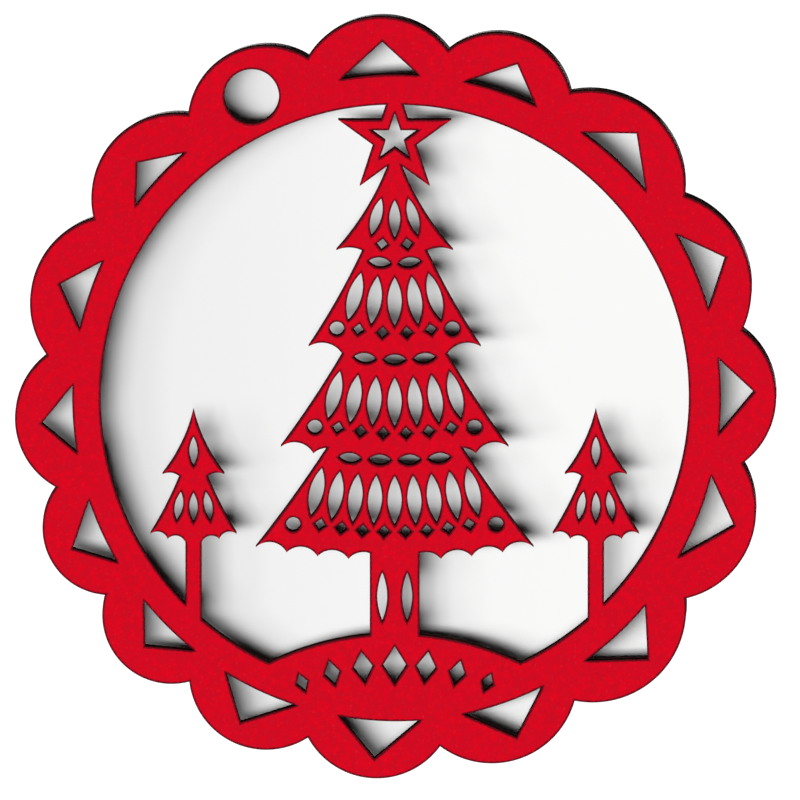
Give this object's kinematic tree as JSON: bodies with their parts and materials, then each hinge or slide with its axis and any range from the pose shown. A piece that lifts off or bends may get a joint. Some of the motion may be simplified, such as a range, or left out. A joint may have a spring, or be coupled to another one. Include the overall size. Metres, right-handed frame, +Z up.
{
  "type": "flat round christmas ornament",
  "caption": "Flat round Christmas ornament cut from a red-faced board, with a scalloped rim, triangular windows, a hanging hole and a pierced fir tree in its open middle.",
  "frame": {"origin": "middle of the hanging hole, half way through the board", "axes": "+Z up and +X to the right as the ornament is looked at from its front, which faces along -Y; Y is the hanging hole's axis and the board's thickness"},
  "size_m": [0.0794, 0.003, 0.0797],
  "materials": {
    "red_face": "matte red coating with a fine soft mottle",
    "charred_core": "dense wood-fibre board, its cut walls charred nearly black by the cutting beam"
  },
  "bodies": {
    "root": {"front_face_sheet": "red_face", "core_board": "charred_core", "back_face_sheet": "red_face"}
  },
  "joints": []
}
